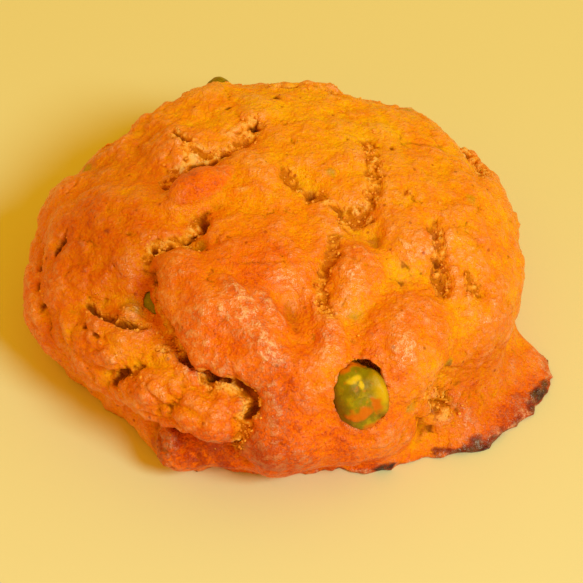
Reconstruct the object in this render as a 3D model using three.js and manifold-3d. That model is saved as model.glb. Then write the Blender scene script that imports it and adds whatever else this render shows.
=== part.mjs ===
// A pistachio drop cookie: one thick, craggy dome of baked dough that stands on its flat underside,
// with whole and broken pistachio kernels set in its crust.
// Millimetres, +Z up. The origin is on the resting face, under the crown. The front, where the dough
// folds over itself and a kernel lies open in its pit, looks towards -Y.
import * as THREE from "three";
import { ImprovedNoise } from "three/addons/math/ImprovedNoise.js";
import { mergeVertices } from "three/addons/utils/BufferGeometryUtils.js";
import Module from "manifold-3d";

// The dome before any lumps or cracks.
const dome = {
  radius: 41.0, // plan radius at the belt, the widest level
  height: 29.4,
  beltHeight: 8.5,
  undercut: 22, // how deep the round below the belt would reach if the tray did not cut it flat
  fullness: 2.35, // 2 is an ellipse, more is a fuller shoulder
  crownShift: 2, // the crown leans this far towards +X
  crustReach: 54, // length over the crust from the crown to the belt
};

// Where the outline swells or falls short of the belt radius: azimuth, half angle, millimetres.
const outline = [
  { azimuth: -88, spread: 38, swell: 0.9 },
  { azimuth: 194, spread: 26, swell: 2.0 },
  { azimuth: 222, spread: 24, swell: -2.4 },
  { azimuth: 50, spread: 42, swell: -2.7 },
  { azimuth: 105, spread: 45, swell: -3.4 },
  { azimuth: 145, spread: 30, swell: -3.0 },
];

// Thin feet where the dough ran out over the tray: reach beyond the belt and thickness.
const feet = [
  { azimuth: -32.5, spread: 20, reach: 10.0, thickness: 4.0 },
  { azimuth: -25, spread: 10, reach: 1.9, thickness: 2.4 },
  { azimuth: -59, spread: 7, reach: 3.6, thickness: 3.2 },
  { azimuth: -68, spread: 4, reach: 2.6, thickness: 2.0 },
  { azimuth: -114, spread: 7, reach: 1.6, thickness: 5.0 },
];

// Places on the crust are [across, along] in millimetres over the crust from the crown, +X and +Y.
// Broad swells that make up the dome. turn is the long axis, in degrees from +X.
const swells = [
  { name: "crown plate", at: [4.5, 6], half: [8, 10.5], turn: 90, rise: 0.9 },
  { name: "back left plate", at: [-16, 9], half: [6.5, 7], turn: 0, rise: 1.6 },
  { name: "back plate", at: [-7, 14], half: [9, 6.5], turn: 10, rise: 0.9 },
  { name: "back left shoulder", at: [-16, 23], half: [11, 8], turn: 20, rise: 2.6 },
  { name: "middle plate", at: [-3.5, 0], half: [8, 8], turn: 0, rise: 1.5 },
  { name: "tongue", at: [-8.5, -23], half: [16.5, 9.5], turn: -56, rise: 4.4 },
  { name: "tongue shoulder", at: [-5, -13], half: [11, 9], turn: -30, rise: 2.6 },
  { name: "tongue end", at: [2, -42], half: [15, 9.5], turn: 92, rise: 3.2 },
  { name: "inner ridge", at: [6, -30], half: [9, 4.5], turn: 95, rise: 2.6 },
  { name: "step right of the fissure", at: [9, -15], half: [7.5, 5], turn: 90, rise: 2.2 },
  { name: "right flank", at: [22, -4], half: [17, 17], turn: 0, rise: 1.5 },
  { name: "right lower flank", at: [33, -16], half: [14, 11], turn: -40, rise: 2.2 },
  { name: "front right swell", at: [19, -29], half: [11, 8], turn: 80, rise: 3.4 },
  { name: "front roll", at: [15, -51], half: [15, 6.5], turn: 4, rise: 2.6 },
  { name: "right of the kernel", at: [24, -43], half: [8, 8], turn: 0, rise: 2.2 },
  { name: "left flank", at: [-25, -8], half: [13, 12], turn: 0, rise: 2.4 },
  { name: "left lower flank", at: [-37, -17], half: [7.5, 11], turn: 0, rise: 2.2 },
  { name: "left rim", at: [-47, -17], half: [4.5, 10], turn: 0, rise: 2.2 },
  { name: "lower left lump", at: [-31, -31], half: [11, 8], turn: -30, rise: 2.8 },
  { name: "ledge", at: [-16, -40], half: [14.5, 8], turn: -18, rise: 3.4 },
  { name: "front left base", at: [-30, -50], half: [9, 6], turn: -35, rise: 1.2 },
  { name: "front base", at: [-12, -54], half: [8, 5], turn: -5, rise: 1.4 },
  { name: "back left lobe", at: [-30, 20], half: [8, 7], turn: 30, rise: 2.0 },
  { name: "left back lobe", at: [-41, 9], half: [7, 6], turn: 0, rise: 1.7 },
  { name: "back lobe", at: [4, 32], half: [15, 12], turn: 0, rise: 0.9 },
  { name: "back right lobe", at: [26, 25], half: [13, 12], turn: 30, rise: 0.6 },
  { name: "low back lobe", at: [-8, 46], half: [14, 9], turn: 10, rise: 2.6 },
  { name: "low back right lobe", at: [22, 42], half: [12, 9], turn: -30, rise: 2.4 },
  { name: "low right lobe", at: [44, 12], half: [10, 12], turn: 0, rise: 2.0 },
];

// Small lumps on top of the swells: nuts under the crust, blisters and hollows (negative rise).
const lumps = [
  { name: "nut under the crust", at: [-10.3, -3], half: [5.6, 3.6], turn: 33, rise: 3.0 },
  { name: "bright bump", at: [12.6, 10.5], half: [4.4, 2.6], turn: -25, rise: 1.1 },
  { name: "ridge by the lip", at: [-11.5, -20], half: [9, 3], turn: -62, rise: 0.9 },
  { name: "ridge of the tongue", at: [-3.5, -27], half: [9, 3], turn: -58, rise: 1.0 },
  { name: "hollow by the tongue", at: [1.6, -24], half: [7.5, 3.6], turn: -70, rise: -1.3 },
  { name: "hollow under the nut", at: [-11, -12], half: [2.8, 1.8], turn: -20, rise: -1.0 },
  { name: "hollow below the crumb pit", at: [9.8, -9.6], half: [3.6, 2.4], turn: -50, rise: -1.2 },
  { name: "facet above the left crack", at: [-24.5, -20.5], half: [6, 3.6], turn: 0, rise: -1.1 },
  { name: "right knob", at: [15.5, -10.5], half: [5, 5], turn: 0, rise: 0.9 },
  { name: "lump 1", at: [-34, -31], half: [3.4, 3], turn: 0, rise: 1.0 },
  { name: "lump 2", at: [-27, -31.5], half: [3.6, 3], turn: 0, rise: 1.1 },
  { name: "lump 3", at: [-18, -37], half: [3.8, 3.2], turn: 0, rise: 1.4 },
  { name: "lump 4", at: [-13, -43], half: [4, 3.4], turn: 0, rise: 1.0 },
  { name: "lump 5", at: [-9, -46], half: [3.4, 3.4], turn: 0, rise: 1.2 },
  { name: "lump 6", at: [-23.5, -39], half: [3.4, 3], turn: 0, rise: 1.1 },
  { name: "lump 7", at: [-37.5, -25.5], half: [3, 3], turn: 0, rise: 1.0 },
  { name: "red chunk", at: [-21.5, -52.5], half: [3.4, 5.5], turn: 20, rise: 2.6 },
  { name: "dark base hole", at: [-25.5, -48], half: [2.2, 2.6], turn: 0, rise: -2.2 },
  { name: "right nub", at: [46, -9], half: [3, 3.4], turn: 0, rise: 1.3 },
  { name: "tongue end bulge", at: [-0.5, -47], half: [4, 6], turn: 0, rise: 0.9 },
  { name: "knuckle", at: [4, -52], half: [5, 4], turn: 0, rise: 0.9 },
  { name: "foot dip", at: [33, -38], half: [6, 4], turn: 40, rise: -1.0 },
  { name: "back blister", at: [12, 38], half: [5, 3.6], turn: 30, rise: 1.4 },
  { name: "back left blister", at: [-22, 38], half: [4.6, 3.4], turn: -20, rise: 1.5 },
  { name: "back hollow", at: [6, 44], half: [5, 3], turn: 15, rise: -1.5 },
  { name: "right back blister", at: [36, 22], half: [4.4, 3.4], turn: 60, rise: 1.3 },
];

// Cracks and fissures: a route over the crust, half width and depth.
const cracks = [
  {
    name: "crumb rift",
    route: [[-4, 8.4], [-6.3, 6], [-9.2, 3.4], [-11.5, 2], [-14.5, -1]],
    half: 1.4, depth: 1.2,
  },
  {
    name: "rift branch",
    route: [[-11, 3], [-11.8, 6], [-14, 8.8]],
    half: 1.0, depth: 0.9,
  },
  {
    name: "under the nut",
    route: [[-10, -6.5], [-11.3, -10], [-14, -11.8], [-17.5, -12.8]],
    half: 1.1, depth: 1.5,
  },
  {
    name: "crown crack",
    route: [[-1, 2], [2, -1.8], [4.9, -3.9], [7, -6], [9, -9.2]],
    half: 1.1, depth: 1.1,
  },
  {
    name: "plate edge",
    route: [[12, 13], [10.2, 6], [10.2, 0], [10, -3], [9, -6.5]],
    half: 1.2, depth: 1.1,
  },
  {
    name: "tongue fissure",
    route: [[8, -9], [5.6, -11], [4.9, -16], [5, -23.5]],
    half: 1.1, depth: 1.1,
  },
  {
    name: "right fissure",
    route: [[19, -6.5], [20.8, -11], [22.4, -16], [22.8, -19.5]],
    half: 1.0, depth: 0.9,
  },
  {
    name: "far right crack",
    route: [[25.5, -14.5], [28, -16], [31, -20]],
    half: 1.1, depth: 1.0,
  },
  {
    name: "left crack",
    route: [[-30.5, -20], [-28, -23], [-24, -25], [-18.5, -23.6]],
    half: 1.1, depth: 1.4,
  },
  {
    name: "rim crack",
    route: [[-30.5, -5], [-35, -9.5], [-39, -11.5], [-41.3, -16], [-42, -23]],
    half: 1.5, depth: 1.3,
  },
  {
    name: "lump cleft",
    route: [[-30.5, -38], [-27.5, -35.5], [-21.5, -34], [-17.5, -31]],
    half: 1.2, depth: 1.1,
  },
  {
    name: "foot cleft",
    route: [[27, -42], [31, -47], [34, -52]],
    half: 2.0, depth: 1.8,
  },
  {
    name: "back crack",
    route: [[-14, 36], [-4, 38], [4, 34], [13, 30], [20, 31]],
    half: 1.6, depth: 1.9,
  },
  {
    name: "back cleft",
    route: [[13, 30], [14, 40], [11, 50]],
    half: 1.5, depth: 1.6,
  },
  {
    name: "right back crack",
    route: [[30, 6], [34, 14], [33, 24], [37, 32]],
    half: 1.5, depth: 1.6,
  },
  {
    name: "left back crack",
    route: [[-24, 14], [-30, 28], [-27, 40]],
    half: 1.5, depth: 1.7,
  },
];

// Folds: the dough on one side hangs over the other, to the left of the way the route runs.
const folds = [
  {
    name: "main fold",
    route: [
      [-18.5, -16.5], [-18.6, -22], [-15.4, -27.5], [-15, -31], [-11.5, -34],
      [-6, -36], [-3.2, -39.5], [-4.4, -44.5], [-5.4, -50], [-6, -57],
    ],
    half: 2.0,
    depth: 2.6,
    overhang: 1.1,
  },
  {
    name: "ledge lip",
    route: [[-40, -40], [-34.5, -43], [-27.5, -44.8], [-20.3, -46.8], [-14, -48], [-10, -50], [-6, -49.5]],
    half: 2.2,
    depth: 2.4,
    overhang: 1.0,
  },
];

// Pits where the crust broke open.
const pits = [
  { name: "crumb pit", at: [8.6, -5.8], radius: 2.8, depth: 2.0 },
  { name: "crown pit", at: [1.8, -1.6], radius: 1.7, depth: 1.0 },
  { name: "rift pit", at: [-5.6, 7.8], radius: 1.6, depth: 1.2 },
  { name: "fold pit", at: [-18.5, -17.6], radius: 1.8, depth: 2.0 },
];

// Pistachio kernels. sink is how far the kernel's middle lies below the crust, tilt lifts its tip.
const kernels = [
  { name: "kernel_front", at: [13, -38.9], size: [10.8, 8.7, 7.8], turn: -64, tilt: 4, sink: 1.0 },
  { name: "kernel_back", at: [-12.4, 29.5], size: [10.5, 6.2, 5.6], turn: 60, tilt: 62, sink: 4.4 },
  { name: "kernel_fold", at: [-20.6, -20.4], size: [6.8, 4.0, 4.0], turn: -50, tilt: 0, sink: 1.5 },
];

const grain = [
  { wavelength: 13, amount: 1.1 },
  { wavelength: 6.5, amount: 0.7 },
  { wavelength: 3.6, amount: 0.4 },
]; // unevenness of the crust, from coarse to fine
const socketGap = 0.35; // clear of a kernel all round
const sphereDetail = 21; // 20 * (detail + 1)^2 triangles
const baseShare = 139.5; // the sphere's polar angle where the flat underside begins
const baseAngle = 113; // the same place as an angle on the dome's profile

const noise = new ImprovedNoise();
const rad = THREE.MathUtils.degToRad;
const clamp = THREE.MathUtils.clamp;
const v3 = (x, y, z) => new THREE.Vector3(x, y, z);

function angleBetween(azimuth, other) {
  return ((azimuth - other + 540) % 360) - 180;
}

// The smooth dome at an azimuth and an angle down from the crown, both in radians.
function domePoint(azimuth, angle) {
  const degrees = THREE.MathUtils.radToDeg(azimuth);
  const power = 2 / dome.fullness;
  const sine = Math.max(Math.sin(angle), 0) ** power;
  const cosine = Math.cos(angle);
  let radius = dome.radius;
  for (const { azimuth: at, spread, swell } of outline)
    radius += swell * Math.exp(-((angleBetween(degrees, at) / spread) ** 2));
  const z =
    cosine >= 0
      ? dome.beltHeight + (dome.height - dome.beltHeight) * cosine ** power
      : dome.beltHeight + dome.undercut * cosine;
  let r = radius * sine;
  for (const { azimuth: at, spread, reach, thickness } of feet) {
    const across = Math.exp(-((angleBetween(degrees, at) / spread) ** 6));
    const down = 1 / (1 + (Math.max(z, 0) / thickness) ** 3);
    r += reach * across * down * Math.min(sine * 1.2, 1);
  }
  const lean = dome.crownShift * clamp((z - dome.beltHeight) / (dome.height - dome.beltHeight), 0, 1);
  return v3(r * Math.cos(azimuth) + lean, r * Math.sin(azimuth), z);
}

function crustPoint([across, along]) {
  const reach = Math.hypot(across, along);
  return domePoint(Math.atan2(along, across), (reach / dome.crustReach) * (Math.PI / 2));
}

// The outward normal and the tangent that runs at a given turn, at a place on the crust.
function crustFrame(at, turn = 0) {
  const step = 0.5;
  const [x, y] = at;
  const across = crustPoint([x + step, y]).sub(crustPoint([x - step, y]));
  const along = crustPoint([x, y + step]).sub(crustPoint([x, y - step]));
  const normal = across.clone().cross(along).normalize();
  const [c, s] = [Math.cos(rad(turn)), Math.sin(rad(turn))];
  const tangent = crustPoint([x + step * c, y + step * s]).sub(crustPoint([x - step * c, y - step * s]));
  tangent.addScaledVector(normal, -tangent.dot(normal)).normalize();
  return { origin: crustPoint(at), normal, tangent, side: normal.clone().cross(tangent) };
}

// A swell or lump as an ellipsoid on the crust: 1 in its middle, 0 at its edge.
function moundReader({ at, half, turn, rise }) {
  const frame = crustFrame(at, turn);
  const deep = (half[0] + half[1]) * 0.75;
  return (point) => {
    const from = point.clone().sub(frame.origin);
    const inside =
      1 -
      (from.dot(frame.tangent) / half[0]) ** 2 -
      (from.dot(frame.side) / half[1]) ** 2 -
      (from.dot(frame.normal) / deep) ** 2;
    return { inside, rise };
  };
}

// A route over the crust as short straight pieces, with the way it runs and the side it folds over.
function routePieces(route) {
  const curve = new THREE.CatmullRomCurve3(route.map(([x, y]) => v3(x, y, 0)), false, "centripetal");
  const count = Math.max(6, Math.ceil(curve.getLength() / 1.5));
  const spots = curve.getSpacedPoints(count).map(({ x, y }) => [x, y]);
  return spots.slice(0, -1).map((spot, i) => {
    const start = crustPoint(spot);
    const way = crustPoint(spots[i + 1]).sub(start);
    const side = crustFrame(spot).normal.cross(way).normalize();
    return { start, way, side, share: [i / count, (i + 1) / count] };
  });
}

// The signed distance from a route, positive on the side that folds over, and the share along it.
function routeReader(route) {
  const pieces = routePieces(route);
  return (point) => {
    let best = { distance: Infinity };
    for (const { start, way, side, share } of pieces) {
      const from = point.clone().sub(start);
      const t = clamp(from.dot(way) / way.lengthSq(), 0, 1);
      from.addScaledVector(way, -t);
      const distance = from.length();
      if (distance < best.distance)
        best = {
          distance,
          signed: distance * (from.dot(side) < 0 ? -1 : 1),
          side,
          along: share[0] + (share[1] - share[0]) * t,
        };
    }
    return best;
  };
}

const readSwells = swells.map(moundReader);
const readLumps = lumps.map(moundReader);
const readCracks = cracks.map((crack) => ({ ...crack, read: routeReader(crack.route) }));
const readFolds = folds.map((fold) => ({ ...fold, read: routeReader(fold.route) }));
const readPits = pits.map((pit) => ({ ...pit, origin: crustPoint(pit.at) }));

// A crack dies out over a sixth of its length at either end.
function taper(along) {
  return Math.min(1, 6 * along + 0.35, 6 * (1 - along) + 0.35);
}

function swellHeight(point) {
  const blend = 0.28; // millimetres over which two swells run together: small, so creases stay sharp
  let sum = 1;
  for (const read of readSwells) {
    const { inside, rise } = read(point);
    if (inside > 0) sum += Math.exp((rise * inside ** 0.6) / blend) - 1;
  }
  return blend * Math.log(sum);
}

function lumpHeight(point) {
  let height = 0;
  for (const read of readLumps) {
    const { inside, rise } = read(point);
    if (inside > 0) height += rise * Math.min(1, inside * (2 - inside));
  }
  return height;
}

function grainHeight(point) {
  let height = 0;
  for (const { wavelength, amount } of grain)
    height += amount * noise.noise(point.x / wavelength, point.y / wavelength, point.z / wavelength + 7);
  return height;
}

// How far a point of the smooth dome moves along its normal, and how far sideways over a fold.
function relief(point) {
  let height = swellHeight(point) + lumpHeight(point) + grainHeight(point);
  const slide = v3(0, 0, 0);
  for (const { read, half, depth } of readCracks) {
    const { distance, along } = read(point);
    if (distance < half * 2.5) height -= depth * taper(along) * Math.exp(-((distance / half) ** 2));
  }
  for (const { read, half, depth, overhang } of readFolds) {
    const { distance, signed, side, along } = read(point);
    if (distance > half * 3) continue;
    const fade = taper(along);
    // The lower side drops away from the lip at once and climbs back slowly.
    const width = half * (signed < 0 ? 1.5 : 0.6);
    const drop = Math.exp(-((signed / width) ** 2));
    height -= depth * fade * drop;
    const lip = Math.exp(-(((signed - half) / (0.8 * half)) ** 2));
    slide.addScaledVector(side, -overhang * fade * lip);
    height += 0.5 * fade * lip;
  }
  for (const { origin, radius, depth } of readPits)
    height -= depth * Math.exp(-((point.distanceTo(origin) / radius) ** 2));
  return { height, slide };
}

function crustSurface(at) {
  const { origin, normal } = crustFrame(at);
  return origin.addScaledVector(normal, relief(origin).height);
}

// The dough: an even ball of triangles, laid over the dome and pushed out or in by the relief.
function doughGeometry() {
  const ball = new THREE.IcosahedronGeometry(1, sphereDetail);
  ball.deleteAttribute("normal");
  ball.deleteAttribute("uv");
  const geometry = mergeVertices(ball, 1e-5);
  const positions = geometry.getAttribute("position");
  const onDome = (direction) => {
    const polar = THREE.MathUtils.radToDeg(Math.acos(clamp(direction.z, -1, 1)));
    const angle =
      polar < baseShare
        ? (polar / baseShare) * baseAngle
        : baseAngle + ((polar - baseShare) / (180 - baseShare)) * (180 - baseAngle);
    return domePoint(Math.atan2(direction.y, direction.x), rad(angle));
  };
  for (let i = 0; i < positions.count; i++) {
    const direction = v3().fromBufferAttribute(positions, i).normalize();
    const across = v3(-direction.y, direction.x, 0);
    if (across.lengthSq() < 1e-6) across.set(1, 0, 0);
    across.normalize();
    const down = across.clone().cross(direction);
    const step = 0.01;
    const slope = (tangent) =>
      onDome(direction.clone().addScaledVector(tangent, step).normalize()).sub(
        onDome(direction.clone().addScaledVector(tangent, -step).normalize()),
      );
    const normal = slope(across).cross(slope(down)).normalize();
    if (normal.dot(direction) < 0) normal.negate();
    const point = onDome(direction);
    if (point.z > -1.5) {
      const { height, slide } = relief(point);
      const settle = clamp((point.z + 1.5) / 3, 0, 1); // the crags fade out where the tray held the dough
      normal.z = Math.max(normal.z, -0.35);
      point.addScaledVector(normal, height * settle).addScaledVector(slide, settle);
    }
    point.z = Math.max(point.z, 0);
    positions.setXYZ(i, point.x, point.y, point.z);
  }
  return geometry;
}

// A kernel: an egg with a blunt end and a pointed end, flattened a little and creased along its seam.
function kernelGeometry({ at, size, turn, tilt, sink }, grow = 0) {
  const geometry = new THREE.IcosahedronGeometry(1, 4);
  geometry.deleteAttribute("normal");
  geometry.deleteAttribute("uv");
  const merged = mergeVertices(geometry, 1e-5);
  const positions = merged.getAttribute("position");
  for (let i = 0; i < positions.count; i++) {
    const p = v3().fromBufferAttribute(positions, i);
    const bulk = (Math.abs(p.x) ** 2.7 + Math.abs(p.y) ** 2.7 + Math.abs(p.z) ** 2.7) ** (-1 / 2.7);
    p.multiplyScalar(bulk); // fuller at its shoulders than an ellipsoid
    const point = 1 - 0.16 * p.x - 0.1 * p.x * p.x; // narrower towards the tip
    const crease = 1 - 0.05 * Math.exp(-((p.y / 0.16) ** 2)) * (p.z > 0 ? 1 : 0);
    const ripple = 1 + 0.03 * noise.noise(p.x * 2 + 3, p.y * 3, p.z * 3);
    p.set(p.x, p.y * point * ripple, p.z * point * crease * ripple);
    p.multiply(v3(size[0] / 2 + grow, size[1] / 2 + grow, size[2] / 2 + grow));
    positions.setXYZ(i, p.x, p.y, p.z);
  }
  const { normal, tangent, side } = crustFrame(at, turn);
  const place = new THREE.Matrix4().makeBasis(tangent, side, normal);
  place.setPosition(crustSurface(at).addScaledVector(normal, -sink));
  return merged.applyMatrix4(new THREE.Matrix4().makeRotationY(rad(-tilt))).applyMatrix4(place);
}

const wasm = await Module();
wasm.setup();

function toSolid(geometry) {
  return new wasm.Manifold(
    new wasm.Mesh({
      numProp: 3,
      vertProperties: new Float32Array(geometry.getAttribute("position").array),
      triVerts: new Uint32Array(geometry.index.array),
    }),
  );
}

function toGeometry(solid) {
  const { vertProperties, triVerts } = solid.getMesh();
  return new THREE.BufferGeometry()
    .setAttribute("position", new THREE.BufferAttribute(vertProperties, 3))
    .setIndex(new THREE.BufferAttribute(triVerts, 1));
}

function namedMesh(name, geometry, color, roughness) {
  geometry.computeVertexNormals();
  const mesh = new THREE.Mesh(geometry, new THREE.MeshStandardMaterial({ color, roughness, metalness: 0 }));
  mesh.name = name;
  return mesh;
}

// Each kernel presses its own socket into the dough.
let dough = toSolid(doughGeometry());
for (const kernel of kernels) dough = dough.subtract(toSolid(kernelGeometry(kernel, socketGap)));

const cookie = new THREE.Group();
cookie.add(namedMesh("dough", toGeometry(dough), "#d98a2b", 0.75));
for (const kernel of kernels) cookie.add(namedMesh(kernel.name, kernelGeometry(kernel), "#8f9a1c", 0.45));

export default cookie;
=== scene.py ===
# Pistachio cookie: crust, crumb, kernels and browned foot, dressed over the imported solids.
# Sizes in the dictionaries are millimetres unless a note says otherwise; meshes are metres.
import math
import random

import bmesh
import bpy
import numpy as np
from mathutils import Matrix, Vector, noise
from mathutils.bvhtree import BVHTree


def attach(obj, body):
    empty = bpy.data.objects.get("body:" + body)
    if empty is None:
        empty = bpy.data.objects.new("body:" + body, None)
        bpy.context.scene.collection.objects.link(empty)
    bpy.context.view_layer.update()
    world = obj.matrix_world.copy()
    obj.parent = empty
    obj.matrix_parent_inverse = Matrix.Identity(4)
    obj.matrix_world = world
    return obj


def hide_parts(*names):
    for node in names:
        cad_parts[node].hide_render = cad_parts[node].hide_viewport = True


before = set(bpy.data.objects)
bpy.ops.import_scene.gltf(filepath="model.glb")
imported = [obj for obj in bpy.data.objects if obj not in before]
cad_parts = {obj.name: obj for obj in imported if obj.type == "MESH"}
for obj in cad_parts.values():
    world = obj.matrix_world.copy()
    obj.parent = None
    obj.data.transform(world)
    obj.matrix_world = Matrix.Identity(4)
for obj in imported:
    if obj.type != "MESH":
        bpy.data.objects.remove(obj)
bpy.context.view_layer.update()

mm = 0.001
kernelNodes = ["kernel_front", "kernel_back", "kernel_fold"]
scene = bpy.context.scene
scene.view_settings.view_transform = "Standard"  # keeps the oranges as strong as they are

# The plain dome under the lumps. A place on the crust is (across, along), measured over it from the crown.
dome = {"radius": 41.0, "height": 29.4, "beltHeight": 8.5, "undercut": 22.0, "fullness": 2.35,
        "lean": 2.0, "reach": 54.0}


def domeSpot(place):
    across, along = place
    turn = math.atan2(along, across)
    down = math.hypot(across, along) / dome["reach"] * math.pi / 2
    power = 2 / dome["fullness"]
    ring = dome["radius"] * math.sin(down) ** power
    if down < math.pi / 2:
        share = math.cos(down) ** power
        height = dome["beltHeight"] + (dome["height"] - dome["beltHeight"]) * share
        lean = dome["lean"] * share
    else:
        height = dome["beltHeight"] + dome["undercut"] * math.cos(down)
        lean = 0
    return Vector((ring * math.cos(turn) + lean, ring * math.sin(turn), height)) * mm


def fromScreen(red, green, blue):  # a colour as a screen shows it, 0 to 255, to the shader's own scale
    def linear(value):
        value /= 255
        return value / 12.92 if value < 0.04045 else ((value + 0.055) / 1.055) ** 2.4
    return (linear(red), linear(green), linear(blue), 1.0)


# Mesh helpers

def applyModifiers(piece):
    finished = piece.evaluated_get(bpy.context.evaluated_depsgraph_get())
    mesh = bpy.data.meshes.new_from_object(finished)
    draft = piece.data
    piece.modifiers.clear()
    piece.data = mesh
    bpy.data.meshes.remove(draft)


def copyOfSolid(node, name):  # the node's triangles as one closed, merged mesh
    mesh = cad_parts[node].data.copy()
    mesh.name = name
    shape = bmesh.new()
    shape.from_mesh(mesh)
    bmesh.ops.remove_doubles(shape, verts=shape.verts, dist=0.004 * mm)
    shape.to_mesh(mesh)
    shape.free()
    mesh.materials.clear()
    piece = bpy.data.objects.new(name, mesh)
    scene.collection.objects.link(piece)
    return piece


def readMesh(mesh):
    spots = np.empty(len(mesh.vertices) * 3)
    normals = np.empty(len(mesh.vertices) * 3)
    edges = np.empty(len(mesh.edges) * 2, dtype=np.int64)
    mesh.vertices.foreach_get("co", spots)
    mesh.vertex_normals.foreach_get("vector", normals)
    mesh.edges.foreach_get("vertices", edges)
    return spots.reshape(-1, 3) / mm, normals.reshape(-1, 3), edges.reshape(-1, 2)


def writeSpots(mesh, spots):
    mesh.vertices.foreach_set("co", (spots * mm).ravel())
    mesh.update()


def writeField(mesh, name, values):
    field = mesh.attributes.new(name, "FLOAT", "POINT")
    field.data.foreach_set("value", np.ascontiguousarray(values, dtype=np.float32))


def smoothOver(values, edges, passes):  # each pass moves a vertex half way to the mean of its neighbours
    first, second = edges.T
    count = len(values)
    links = np.bincount(first, minlength=count) + np.bincount(second, minlength=count)
    columns = values.reshape(count, -1)
    for _ in range(passes):
        sums = [np.bincount(first, column[second], count) + np.bincount(second, column[first], count)
                for column in columns.T]
        columns = (columns + np.stack(sums, axis=1) / links[:, None]) / 2
    return columns.reshape(values.shape)


def noiseOver(spots, size, seed):
    shift = Vector((seed, -seed * 0.7, seed * 0.3))
    return np.array([noise.noise(Vector(spot) / size + shift) for spot in spots])


def cellsOver(spots, size, seed):  # distance to the nearest and to the second nearest cell centre
    shift = Vector((seed, seed * 0.4, -seed))
    found = [noise.voronoi(Vector(spot) / size + shift)[0][:2] for spot in spots]
    return np.array(found).T * size


def ramp(values, low, high):
    share = np.clip((values - low) / (high - low), 0, 1)
    return share * share * (3 - 2 * share)


def bell(distance, width):
    return np.exp(-((distance / width) ** 2))


# Camera, at the height it looks down from in the picture

camera = {"tilt": 46.0, "distance": 430.0, "lens": 154.0, "sensor": 36.0, "target": (2.84, 2.04, 0.0)}


def addCamera():
    tilt = math.radians(camera["tilt"])
    outward = Vector((0, -math.cos(tilt), math.sin(tilt)))
    lens = bpy.data.cameras.new("camera")
    lens.lens = camera["lens"]
    lens.sensor_width = camera["sensor"]
    lens.clip_start = 0.01
    eye = bpy.data.objects.new("camera", lens)
    eye.location = (Vector(camera["target"]) + outward * camera["distance"]) * mm
    eye.rotation_euler = (-outward).to_track_quat("-Z", "Y").to_euler()
    scene.collection.objects.link(eye)
    scene.camera = eye


addCamera()
print("camera set")

# Crust: the dough solid made fine, then cracked, pitted and roughened

crust = {
    "cuts": 3,  # each edge of the solid is cut so many times
    "tableGap": 0.1,  # faces that lie lower than this all round are the underside and stay as they are
    "rounding": 9,  # passes that take the solid's facets away
    "waver": [(2.1, 0.6), (0.9, 0.3)],  # a crack wanders: over this length, by this much
    "waverSeeds": (151, 157, 163),  # one for each axis
    "lumps": [(9.0, 0.4), (4.6, 0.36), (2.5, 0.28), (1.4, 0.22), (0.85, 0.2)],  # size, height of unevenness
    "calm": [((-10.2, -2.6), 5.5, 0.8), ((-3, -20), 12, 0.35)],  # smoother places: where, radius, share
    "clotSize": (4.3, 1.9),
    "clotHeight": 1.15,
    "softEdge": 1.4,  # how a bump ends where its row doesn't say
    "crumbDrop": 0.3,  # how far broken crumb lies below the crust
    "crumbSize": (1.5, 0.8),
    "crumbHeight": (0.42, 0.3),
    "lastEdge": 1.6,  # relief fades out this close to the tray
    "raggedEdge": [(2.6, 1.3, 95), (1.2, 0.9, 97)],  # unevenness by the tray: size, amount, seed
    "poreCell": 5.2,  # pores lie about so far apart where there are any, and hair cracks below likewise
    "poreDepth": 0.4,
    "poreRadius": 0.42,
    "hairCell": 7.5,
    "hairDepth": 0.35,
    "hairWidth": 0.3,
    "wrinkleHeight": 0.5,  # of the upright wrinkles round the rim
    "hug": (0.42, 0.9),  # the dough's rise round a kernel: height, reach
    "grainSize": 1.3,  # of the loose grains beside cracks and tears
    "broadForm": 60,  # passes that leave the broad form, against which ridges and hollows are told
    "fineForm": 8,  # and those that leave all but the grain
}

# The open gap beside the front kernel, at its upper right
kernelGap = [(14.9, -33.4), (17.2, -36.2), (18.2, -39.6), (18, -42.4)]

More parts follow.
